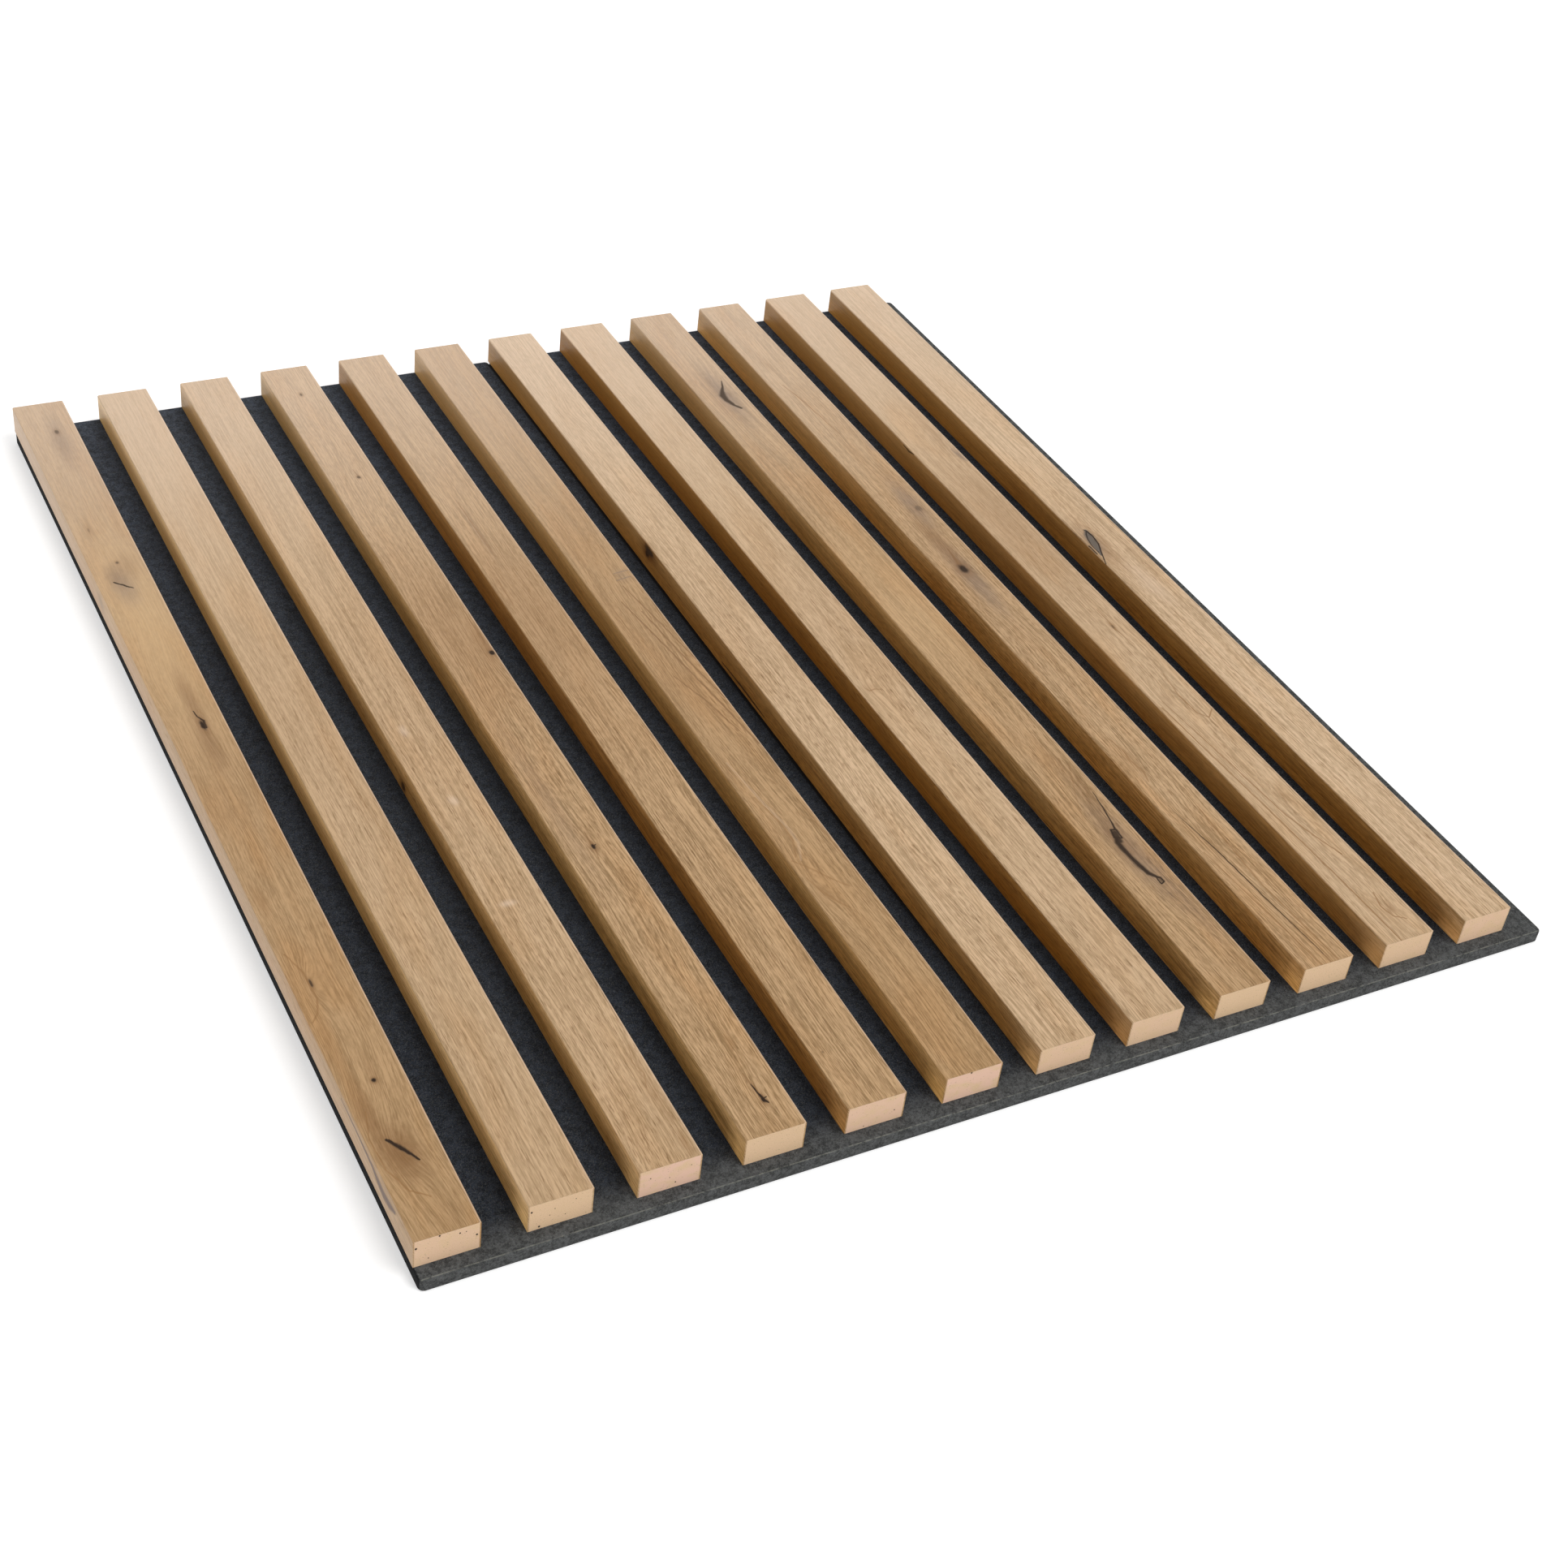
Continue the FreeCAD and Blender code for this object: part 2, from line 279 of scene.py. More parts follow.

# Tone 0 is warm and deep, 1 is pale. Grain is how strong the streaks are. Side is how light the painted
# shade and bounced light on a side in a groove are at the foot and under the face, then how warm. Pores is
# how dark they are, patchy how uneven the tone is.
# Drift is how far the grain wanders sideways.
# Swells bend the grain: (across, along, height, half width, half length).
# Knots: (across, along, half width, half length, darkness).
# Lines: a strength, a colour, then points (across, along, half width).
# Stains: (across, along, half width, half length, colour, strength).
leaves = {
    1: {
        "tone": 0.06, "grain": 0.62, "side": (1, 0.9, 0.5), "pores": 0.3, "patchy": 0.5, "drift": 9,
        "swells": [(12, 48, 7, 7, 22), (9, 155, 6, 4, 18), (17, 353, 5, 6, 30), (3, 62, 5, 5, 30)],
        "knots": [
            (15.2, 90, 1.1, 1.3, 0.95), (9.1, 156, 0.7, 2.8, 0.8), (17.6, 351.5, 1.4, 4.2, 0.95),
            (15.2, 504.5, 0.9, 1.2, 0.6), (8.9, 540, 0.5, 2.4, 0.35), (17.6, 646, 1.2, 2.4, 0.6),
        ],
        "lines": [
            (0.95, "dark", [
                (17.6, 40.4, 0.5), (14.0, 47.4, 1.05), (11.2, 51.6, 1.15), (8.6, 55.8, 0.6)]),
            (0.9, "dark", [(17.4, 41.4, 0.3), (12.6, 50.0, 0.55), (9.4, 55.4, 0.4)]),
            (0.9, "dark", [(18.4, 349, 0.9), (18.9, 355, 0.7), (16.8, 359, 0.5), (16.2, 364, 0.25)]),
            (0.9, "dark", [(17.0, 478.4, 0.35), (13.4, 482, 0.7), (8.7, 486.6, 0.5)]),
            (0.85, "plum", [
                (-5.0, 21, 1.0), (-7.4, 28, 2.4), (-8.4, 35, 2.8), (-7.2, 42, 2.4), (-5.4, 49, 1.4),
                (-4.6, 66, 0.9), (-4.0, 88, 0.5)]),
            (0.6, "late", [(15, 20, 0.4), (8, 26, 0.5), (3, 40, 0.4), (2, 58, 0.3), (6, 74, 0.3)]),
            (0.6, "late", [
                (2, 132, 0.4), (6, 137, 0.5), (8.6, 146, 0.5), (8, 164, 0.45), (4, 178, 0.4)]),
        ],
        # the long pale stain down slat 1's outer left side is painted light on that side
        "stains": [
            (15, 440, 26, 130, "honey", 0.5), (-13, 340, 13, 900, "paleMarkAndHighlight", 0.3),
            (12, 46, 11, 20, "brown", 0.85), (6, 70, 6, 26, "brown", 0.6),
            (16, 94, 3, 14, "brown", 0.32), (20, 8, 8, 14, "brown", 0.2), (5, 110, 5, 24, "late", 0.3),
            (5, 216, 4, 14, "late", 0.45), (11, 492, 6, 14, "brown", 0.4),
            (17, 336, 7, 30, "brown", 0.5), (17.6, 372, 5, 34, "brown", 0.55),
            (13, 482, 9, 24, "grey", 0.5), (-8, 482, 5, 9, "grey", 0.5), (9, 540, 3, 14, "late", 0.3),
            (17.5, 636, 7, 36, "grey", 0.45), (20, 500, 8, 16, "brown", 0.3),
        ],
    },
    2: {
        "tone": 0.58, "grain": 0.52, "side": (1.6, 1.6, 0.0), "pores": 0.6, "patchy": 0.25, "drift": 3,
        "swells": [],
        "knots": [],
        "lines": [(0.28, "late", [(26, 162, 0.25), (24, 230, 0.3), (20, 345, 0.3)])],
        "stains": [],
    },
    3: {
        "tone": 0.5, "grain": 0.72, "side": (0.95, 1.1, 0.18), "pores": 0.8, "patchy": 0.25, "drift": 4,
        "swells": [(26, 35, 4, 5, 40)],
        "knots": [(-12.6, 287, 2.6, 3.2, 0.9)],
        "lines": [(0.3, "late", [(23, 44, 0.3), (25.4, 52, 0.4), (23.4, 60, 0.3), (26, 70, 0.3)])],
        "stains": [
            (25, 8, 3, 9, "late", 0.5), (25, 40, 5, 34, "late", 0.25), (11, 175, 5, 3, "paleMarkAndHighlight", 0.5),
            (14, 254, 3, 5, "paleMarkAndHighlight", 0.45), (10, 314, 3, 6, "paleMarkAndHighlight", 0.4),
        ],
    },
    4: {
        "tone": 0.15, "grain": 1.0, "side": (1.28, 1.2, 0.05), "pores": 0.5, "patchy": 0.4, "drift": 6,
        "swells": [(10, 262, 6, 7, 70), (16, 20, 3, 4, 18), (26, 363, 4, 4, 20)],
        "knots": [
            (17.5, 18.6, 0.9, 1.9, 0.97), (15, 199, 1.0, 2.0, 0.95), (27, 362.7, 1.5, 2.2, 0.95),
            (17.4, 548, 1.2, 1.5, 0.65), (15, 647, 0.9, 1.8, 0.6),
        ],
        "lines": [
            (0.95, "dark", [(18.8, 16.4, 0.4), (17.6, 18.6, 0.9), (17.0, 23, 0.5), (16.4, 29, 0.2)]),
            (0.85, "dark", [(17.8, 19.2, 0.5), (19.6, 19.8, 0.3)]),
            (0.55, "brown", [(17.2, 21, 0.9), (16.0, 36, 0.4)]),
            (0.85, "dark", [(15.2, 199, 0.5), (16.4, 200, 0.3)]),
            (0.6, "brown", [(15, 200, 0.5), (15, 210, 0.2)]),
            (0.5, "brown", [(15, 197, 0.5), (13.8, 189, 0.2)]),
            (0.55, "brown", [(27.2, 365, 1.0), (26.6, 395, 0.3)]),
            (0.5, "brown", [(17.4, 549, 0.5), (16.8, 557, 0.2)]),
        ],
        "stains": [
            (15, 395, 30, 95, "late", 0.32), (19.2, 56, 2.6, 6, "late", 0.5),
            (8, 232, 7, 80, "grey", 0.2), (26, 372, 5, 26, "late", 0.5),
            (15, 202, 2.4, 12, "brown", 0.3), (17.6, 22, 2.6, 12, "brown", 0.3),
        ],
    },
    5: {
        "tone": 0.15, "grain": 0.92, "side": (1.06, 0.75, 0.72), "pores": 0.6, "patchy": 0.2, "drift": 4,
        "swells": [(20, 230, 3, 8, 90)],
        "knots": [(5.4, 35, 0.5, 0.8, 0.35)],
        "lines": [
            (0.5, "late", [(12.4, 447, 0.3), (12.2, 470, 0.6), (12.4, 506, 0.25)]),
            (0.5, "late", [(4.2, 398, 0.25), (4.6, 412, 0.45), (5.2, 428, 0.2)]),
        ],
        "stains": [(15, 395, 30, 95, "late", 0.32), (12, 476, 2.2, 34, "grey", 0.25)],
    },
    6: {
        "tone": 0.02, "grain": 0.76, "side": (1.6, 1.15, 0.1), "pores": 0.5, "patchy": 0.35, "drift": 7,
        "swells": [(5, 142, 6, 5, 30), (18, 320, 7, 11, 100)],
        "knots": [],
        "lines": [
            (0.6, "brown", [(28.2, 128, 0.25), (27.6, 160, 0.5), (26.4, 200, 0.2)]),
            (0.45, "late", [(13, 116, 0.5), (9, 122, 0.6), (5, 132, 0.6), (3, 142, 0.5)]),
            (0.45, "late", [(20, 130, 0.5), (14, 138, 0.6), (8, 148, 0.6), (2, 156, 0.5)]),
            (0.14, "paleMarkAndHighlight", [
                (6.4, 155, 0.5), (11, 167, 0.9), (11.6, 178, 0.9), (8, 205, 0.8), (5, 236, 0.5)]),
            (0.45, "late", [(5, 158, 0.5), (9.6, 170, 0.6), (9.8, 182, 0.6), (6, 206, 0.5)]),
            (0.8, "brown", [(28, 245, 0.45), (24.6, 280, 0.6), (17, 345, 0.5), (12, 384, 0.3)]),
            (0.65, "brown", [(23, 258, 0.45), (17.6, 288, 0.5), (10.6, 312, 0.35)]),
            (0.75, "brown", [(28.4, 286, 0.45), (23, 330, 0.55), (19, 372, 0.4)]),
            (0.7, "brown", [(28.6, 322, 0.45), (24, 360, 0.5), (19, 398, 0.35)]),
            (0.5, "grey", [(18, 404, 0.5), (27, 405.4, 0.6)]),
            (0.5, "grey", [(19, 410.6, 0.4), (28, 411.6, 0.5)]),
        ],
        "stains": [(6, 128, 5, 12, "late", 0.25), (23, 408, 5, 8, "grey", 0.28)],
    },
    7: {
        "tone": 0.72, "grain": 0.78, "side": (1.08, 0.6, 0.6), "pores": 0.8, "patchy": 0.2, "drift": 4,
        "swells": [(11, 140, 5, 5, 50), (15, 582, 4, 5, 20)],
        "knots": [(-3.8, 430, 2.8, 6.2, 0.85), (-6.4, 432, 2.6, 3.0, 0.85)],
        "lines": [
            (0.85, "dark", [(-13.8, 280, 0.4), (-13.2, 306, 0.9), (-13.6, 332, 0.3)]),
            (0.28, "late", [(11, 96, 0.3), (9, 122, 0.35), (12.4, 150, 0.35), (12, 184, 0.25)]),
            (0.25, "late", [(7, 104, 0.3), (6, 126, 0.3), (9.4, 152, 0.35), (9, 180, 0.25)]),
        ],
        "stains": [(-6, 430, 5, 16, "brown", 0.4)],
    },
    8: {
        "tone": 0.7, "grain": 0.6, "side": (0.86, 0.56, 1.0), "pores": 0.8, "patchy": 0.2, "drift": 3,
        "swells": [(7, 268, 3, 4, 14)],
        "knots": [],
        "lines": [(0.5, "late", [(12, 265, 0.3), (8.6, 266.6, 0.5), (5.4, 266, 0.5), (4, 269, 0.3)])],
        "stains": [(7, 268, 5, 6, "late", 0.25)],
    },
    9: {
        "tone": 0.12, "grain": 0.9, "side": (1.45, 0.95, 0.25), "pores": 0.6, "patchy": 0.5, "drift": 5,
        "swells": [(15.6, 100, 6, 6, 46), (16, 567, 5, 6, 34)],
        "knots": [],
        "lines": [
            (0.92, "dark", [
                (18.6, 77.4, 0.45), (20.7, 78.4, 0.55), (20.5, 81.6, 0.7), (18.7, 83, 1.2),
                (16.6, 86.4, 1.5), (15.5, 93, 1.7), (14.9, 101, 1.4), (14.6, 108, 1.7),
                (14.9, 112, 1.7), (16.4, 115.4, 1.4), (19.2, 114.2, 0.5), (19.6, 121, 0.8),
                (17.0, 121.6, 0.7), (15.4, 115.6, 0.9)]),
            (0.95, "dark", [(18.5, 77.4, 0.45), (18.3, 80.4, 0.5), (18.9, 83.2, 0.5)]),
            (0.92, "dark", [
                (19.4, 121.4, 0.7), (20.8, 127, 0.45), (22.8, 138, 0.4), (24.8, 151, 0.15)]),
            (0.88, "dark", [(16.4, 112.6, 2.0), (17.8, 119, 2.2)]),
            (0.6, "dark", [(19.6, 79, 0.9), (19.2, 82, 1.1)]),
            (0.82, "dark", [
                (19.8, 554.6, 1.0), (17.2, 559, 1.3), (15.2, 566, 1.9), (15.2, 571.6, 2.5),
                (17.6, 577.6, 1.4), (20.0, 582, 0.7), (22.6, 589, 0.3)]),
            (0.3, "late", [(26, 176, 0.3), (14, 150, 0.35), (7, 132, 0.3)]),
        ],
        "stains": [
            (15, 330, 30, 110, "honey", 0.3), (18, 104, 10, 50, "grey", 0.6),
            (16, 112, 7, 24, "brown", 0.55), (21, 155, 8, 50, "brown", 0.36),
            (24, 60, 7, 40, "grey", 0.25), (17, 572, 9, 42, "grey", 0.65),
        ],
    },
    10: {
        "tone": 0.24, "grain": 0.94, "side": (1.5, 0.82, 0.43), "pores": 0.6, "patchy": 0.5, "drift": 7,
        "swells": [(14, 353, 6, 5, 26), (12, 90, 4, 7, 80)],
        "knots": [(14.4, 352.4, 2.7, 4.6, 0.92), (21.4, 417.5, 2.2, 3.2, 0.42)],
        "lines": [
            (0.8, "brown", [(15.8, 0, 0.35), (12.6, 48, 0.5), (10.4, 88, 0.5), (7.4, 116, 0.2)]),
            (0.75, "dark", [
                (15.4, 6, 0.2), (12.6, 48, 0.34), (10.4, 88, 0.42), (7.4, 116, 0.2), (6.6, 128, 0.12)]),
            (0.6, "late", [
                (8, 148, 0.4), (10, 156, 0.6), (8.6, 166, 0.6), (9.6, 176, 0.4), (8, 186, 0.3)]),
            (0.45, "late", [(9, 206, 0.3), (9.4, 232, 0.3)]),
            (0.65, "late", [(20, 0, 0.4), (17, 60, 0.5), (21, 120, 0.4)]),
            (0.65, "late", [(10, 0, 0.4), (6, 50, 0.45), (3, 90, 0.3)]),
            (0.6, "late", [(15.8, 508, 0.3), (11.6, 554, 0.55), (8.4, 573, 0.25)]),
            (0.8, "brown", [(14.4, 356, 1.5), (16.4, 374, 0.3)]),
        ],
        "stains": [
            (15, 344, 8, 46, "grey", 0.65), (15, 380, 7, 50, "brown", 0.55),
            (10, 166, 4, 18, "late", 0.3), (20, 424, 8, 34, "grey", 0.6),
            (28, 489, 2.6, 8, "grey", 0.45), (10, 600, 4, 14, "late", 0.2),
        ],
    },
    11: {
        "tone": 0.7, "grain": 0.62, "side": (0.93, 0.65, 0.7), "pores": 0.5, "patchy": 0.4, "drift": 6,
        "swells": [(13, 140, 7, 7, 80), (20, 20, 3, 4, 14), (10, 206, 3, 4, 14)],
        "knots": [(17.8, 274, 0.7, 1.8, 0.5)],
        "lines": [
            (0.75, "late", [
                (21, 64, 0.45), (17, 78, 0.45), (12, 100, 0.45), (9, 150, 0.45), (5, 205, 0.2)]),
            (0.75, "late", [(9, 0, 0.45), (8, 50, 0.45), (5.8, 110, 0.45), (1.6, 200, 0.45)]),
            (0.7, "late", [
                (28, 190, 0.4), (22, 184, 0.45), (18, 189, 0.35), (17, 205, 0.35), (20, 226, 0.25)]),
            (0.7, "late", [(22, 12, 0.35), (16.4, 16, 0.45), (15, 24, 0.45), (18, 34, 0.35)]),
            (0.45, "late", [(20, 256, 0.3), (17.8, 270, 0.5), (18.4, 292, 0.3)]),
            (0.45, "grey", [(28, 456, 0.6), (26, 465, 0.9), (25, 471, 0.4)]),
            (0.8, "dark", [(-1.0, 474, 0.4), (-2.2, 480, 0.7), (-1.6, 487, 0.3)]),
        ],
        "stains": [
            (15, 395, 30, 95, "late", 0.28), (19.4, 22, 3, 6, "brown", 0.42),
            (21, 114, 3, 8, "late", 0.35), (9, 206, 3.4, 8, "brown", 0.32),
            (24, 492, 5, 40, "brown", 0.25), (27, 464, 3.2, 10, "grey", 0.5),
            (18, 275, 2.6, 7, "late", 0.4),
        ],
    },
    12: {
        "tone": 0.94, "grain": 0.72, "side": (0.92, 0.54, 0.9), "pores": 0.7, "patchy": 0.25, "drift": 3,
        "swells": [(4.6, 355, 5, 5, 26)],
        "knots": [],
        "lines": [
            (0.92, "stone", [
                (2.0, 339, 0.6), (3.8, 346, 2.0), (5.0, 353, 2.9), (6.0, 360, 2.6), (7.4, 365, 1.0)]),
            (0.92, "dark", [
                (-0.2, 331, 0.4), (4.2, 343, 0.5), (7.0, 350, 0.55), (8.2, 358, 0.6), (7.6, 364, 0.7)]),
            (0.85, "dark", [(7.6, 364, 0.6), (6.4, 366, 0.3)]),
            (0.8, "dark", [
                (2.2, 342, 0.3), (2.0, 349, 0.4), (3.4, 356, 0.5), (5.4, 361, 0.5), (7.2, 364, 0.4)]),
            (0.9, "dark", [(0.3, 341, 0.45), (0.2, 350, 0.55)]),
            (0.35, "dark", [(-0.5, 358, 0.5), (-1.4, 369, 0.35)]),
        ],
        "stains": [
            (6, 350, 10, 34, "late", 0.55), (5, 352, 6, 18, "grey", 0.4),
            (14, 305, 8, 26, "paleMarkAndHighlight", 0.3),
        ],
    },
}


def foldedPlace(start, node):
    # millimetres across the unfolded leaf, along it and down from its face, then its width and length
    low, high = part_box(node)
    x, y, z = parts(placeInMillimetres(start))
    width = (high.x - low.x) / mm
    fromLeft = x - low.x / mm
    drop = high.z / mm - z
    across = fromLeft - (width / 2 - fromLeft).sign() * drop
    return across, y - low.y / mm, drop, width, (high.y - low.y) / mm


def oakNoise(name, across, along, number):
    width, length, seed, detail = oak["noises"][name]
    return clouds(across / width, along / length, number * oak["seedStep"] + seed, detail)


def swellHeight(across, along, swell):
    middle, place, height, halfWidth, halfLength = swell
    sideways = (across - middle) / halfWidth
    lengthways = (along - place) / halfLength
    return height / (1.0 + sideways * sideways + lengthways * lengthways)


def markDistance(across, along, mark):
    # 1 on the rim of an oval mark, 0 in its middle
    middle, place, halfWidth, halfLength = mark[:4]
    sideways = (across - middle) / halfWidth
    lengthways = (along - place) / halfLength
    return (sideways * sideways + lengthways * lengthways) ** 0.5


def lineMask(spot, points):
    # 1 inside a line drawn through the points, as wide at each as it says
    mask = None
    for (u0, v0, wide0), (u1, v1, wide1) in zip(points, points[1:]):
        run = Vector((u1 - u0, v1 - v0, 0))
        offset = spot.vector("SUBTRACT", spot, (u0, v0, 0))
        share = spot.vector("DOT_PRODUCT", offset, tuple(run / run.length_squared), output="Value")
        share = share.largest(0.0).smallest(1.0)
        along = spot.node("CombineXYZ", {}, {"X": share * run.x, "Y": share * run.y})
        away = spot.vector("DISTANCE", offset, along, output="Value")
        inside = (away / (share * (wide1 - wide0) + wide0)).fall(*oak["lineRim"])
        mask = inside if mask is None else mask.largest(inside)
    return mask


def times(colour, shares):
    return tuple(level * share for level, share in zip(colour, shares)) + (1,)


def sideShadeTint(ends, level, warmth):
    mild, warm = ends
    return tuple(level * (a + (b - a) * warmth) for a, b in zip(mild, warm)) + (1,)


def oakVeneer(number):
    leaf = leaves[number]
    material, start, shader = newMaterial(f"oak_veneer_{number:02d}")
    across, along, drop, width, length = foldedPlace(start, f"veneer_wrap_{number:02d}")

    drift = oakNoise("drift", across, along, number) - 0.5
    ripple = oakNoise("ripple", across, along, number) - 0.5
    grain = across + drift * (leaf["drift"] * 2)       # the noise swings half a unit each way
    grain = grain + ripple * oak["rippleHeight"]
    for swell in leaf["swells"]:
        grain = grain + swellHeight(across, along, swell)

    band, line, fleck, pore = (
        oakNoise(name, grain, along, number) for name in ("band", "line", "fleck", "pore"))
    patch = oakNoise("patch", across, along, number)
    pores = pore.rise(*oak["poreRamp"]) * band.fall(*oak["poreBand"])

    ends = zip(oak["deepWood"], oak["paleWood"])
    base = tuple(deep + (pale - deep) * leaf["tone"] for deep, pale in ends)
    heavy = times(base, oak["heavyStreak"])
    light = times(base, oak["lightStreak"])
    plain = tuple((low + high) / 2 for low, high in zip(heavy, light))
    lineShare, bandShare, fleckShare = oak["streakShares"]
    streak = line * lineShare + band * bandShare + fleck * fleckShare
    colour = streak.rise(*oak["streakRamp"]).blend(heavy, light)
    calm = along.rise(*oak["calmRamp"])
    colour = (1.0 - (1.0 - calm * oak["calm"]) * leaf["grain"]).blend(colour, plain)
    dim = abs(along - oak["dimPlace"]).fall(0.0, oak["dimReach"])
    colour = (dim * oak["dim"]).blend(colour, oak["late"])
    colour = (patch.rise(*oak["patchRamp"]) * leaf["patchy"]).blend(colour, oak["warmCast"], "MULTIPLY")
    colour = (pores * (1.0 - calm) * leaf["pores"]).blend(colour, oak["poreTint"], "MULTIPLY")
    # a painted sheen pales the wood towards the far end
    colour = (along.rise(*oak["farSheenRamp"]) * oak["farSheen"]).blend(colour, oak["farSheenColour"])

    wobble = (oakNoise("wobble", across, along, number) - 0.5) * oak["wobble"]
    for stain in leaf["stains"]:
        shade, strength = stain[4:]
        reach = markDistance(across, along, stain) + wobble * oak["stainWobble"]
        colour = (reach.fall(*oak["stainRim"]) * strength).blend(colour, oak[shade])
    spot = start.node("CombineXYZ", {}, {"X": across + wobble * oak["lineWobble"], "Y": along + wobble})
    faults = start.node("Value", {}, {})       # 0 until a knot or a crack raises it
    for knot in leaf["knots"]:
        darkness = knot[4]
        reach = markDistance(across, along, knot) + wobble * oak["knotWobble"]
        halo = reach.fall(*oak["haloRim"]) * (darkness * oak["haloShare"])
        colour = halo.blend(colour, oak["brown"])
        faults = faults.largest(reach.fall(*oak["knotRim"]) * darkness)
    for strength, shade, points in leaf["lines"]:
        mark = lineMask(spot, points) * strength
        if shade == "dark":
            faults = faults.largest(mark)
        else:
            colour = mark.blend(colour, oak[shade])
    colour = faults.blend(colour, oak["dark"])

    # a painted highlight along the face's right edge
    arrisHighlight = abs(across - (width - oak["arrisInset"])).fall(*oak["arrisRim"])
    colour = (arrisHighlight * oak["arrisHighlight"]).blend(colour, oak["paleMarkAndHighlight"])

    # painted shade and warm bounced light on the sides that face a groove, none on the two outer sides
    offEnds = along.rise(*oak["endRamp"]) * (length - along).rise(*oak["endRamp"])
    grooveShadeShare = drop.rise(*oak["sideRamp"]) * offEnds
    grooveShadeShare = grooveShadeShare * (along.rise(0.0, oak["nearReach"]) * (1 - oak["nearShare"]) + oak["nearShare"])
    if number == 1:
        grooveShadeShare = grooveShadeShare * across.rise(*oak["foldRamp"])
    if number == slatCount:
        grooveShadeShare = grooveShadeShare * across.fall(*oak["foldRamp"])
    footLevel, browLevel, warmth = leaf["side"]
    foot = sideShadeTint(oak["footShadeTints"], footLevel, warmth)
    brow = sideShadeTint(oak["browShadeTints"], browLevel, warmth)
    sideShade = drop.rise(*oak["shadeTintRamp"]).blend(brow, foot)
    colour = grooveShadeShare.blend(colour, start.vector("MULTIPLY", colour, sideShade))

    height = 1.0 - pores * oak["poreBump"] - line.fall(*oak["lineBumpRamp"]) * oak["lineBump"] - faults
    bump = bumpFrom(start, height, oak["bumpStrength"], oak["poreDepth"])
    roughness = (pores * oak["poreRoughness"] + oak["roughness"]).largest(faults)
    feed(start, shader, Base_Color=colour, Roughness=roughness, Normal=bump,
         Specular_IOR_Level=oak["specular"])
    return material


# Raw board at the cut ends, with pinholes where the chips left gaps. Sizes are in millimetres.
board = {
    "base": screenColour(214, 184, 148),
    "chip": screenColour(198, 163, 128),
    "pink": screenColour(219, 182, 161),
    "hole": screenColour(40, 27, 20),
    "pinkShare": (0.35, 0.1, 0.9, 0.1, 0.6, 0.9, 0.35, 0.3, 0.05, 0.1, 0.2, 0.4),     # slat by slat
    "gritSize": (0.5, 0.35, 1.5),     # across, up and along
    "gritRamp": (0.42, 0.74),
    "gritShare": 0.8,
    "hazeSize": (7.0, 5.0),
    "hazeSeed": 3.7,
    "hazeRamp": (0.25, 0.6),
    "speckSize": 1.6,
    "speckRamp": (0.08, 0.2),
    "speckShare": 0.3,
    "holeStretch": 1.2,
    "holeRim": (0.7, 1.2),
    "nearHalf": (-1.0, 1.0),          # pinholes stop at the middle of the length
    "roughness": 0.8,
    "specular": 0.25,
    "bumpStrength": 0.4,
    "gritDepth": 0.15 * mm,
}

# Pinholes at the near end: (across from the slat's left side, below its face, half size).
pinholes = {
    1: [(1.3, 4.9, 0.55), (11.4, 1.2, 0.45), (20.2, 3.4, 0.4), (22.9, 3.6, 0.25), (27.6, 7.4, 0.5),
        (6.7, 12.8, 0.3)],
    2: [(1.5, 4.4, 0.5), (12.0, 6.2, 0.25), (9.8, 9.4, 0.25), (21.4, 4.0, 0.25), (5.2, 14.6, 0.5),
        (16.8, 11.6, 0.25)],
    3: [(5.5, 6.0, 0.3), (14.6, 9.0, 0.25), (17.6, 13.0, 0.35), (24.5, 5.0, 0.25)],
    5: [(24.5, 10.0, 0.35), (9.5, 14.7, 0.28)],
    6: [(13.0, 1.0, 0.5)],
}


def rawBoard(number):
    material, start, shader = newMaterial(f"raw_board_{number:02d}")
    low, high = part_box(f"veneer_wrap_{number:02d}")
    x, y, z = parts(placeInMillimetres(start))
    across = x - low.x / mm
    below = high.z / mm - z
    gritWidth, gritHeight, gritLength = board["gritSize"]
    grit = clouds(x / gritWidth, z / gritHeight, y / gritLength, detail=3.0)
    hazeWidth, hazeHeight = board["hazeSize"]
    haze = clouds(x / hazeWidth, z / hazeHeight, number * board["hazeSeed"])
    colour = (grit.rise(*board["gritRamp"]) * board["gritShare"]).blend(board["base"], board["chip"])
    pink = haze.rise(*board["hazeRamp"]) * board["pinkShare"][number - 1]
    colour = pink.blend(colour, board["pink"])
    size = board["speckSize"]
    spot = start.node("CombineXYZ", {}, {"X": x / size, "Y": y / size, "Z": z / size})
    speck = start.node("TexVoronoi", {}, {"Vector": spot, "Scale": 1.0})
    colour = (speck.fall(*board["speckRamp"]) * board["speckShare"]).blend(colour, board["hole"])
    holes = start.node("Value", {}, {})       # 0 until a pinhole raises it
    for middle, place, halfSize in pinholes.get(number, []):
        reach = markDistance(across, below, (middle, place, halfSize, halfSize * board["holeStretch"]))
        holes = holes.largest(reach.fall(*board["holeRim"]))
    holes = holes * y.fall(*board["nearHalf"])
    colour = holes.blend(colour, board["hole"])
    bump = bumpFrom(start, grit - holes, board["bumpStrength"], board["gritDepth"])
    feed(start, shader, Base_Color=colour, Normal=bump, Roughness=board["roughness"],
         Specular_IOR_Level=board["specular"])
    return material
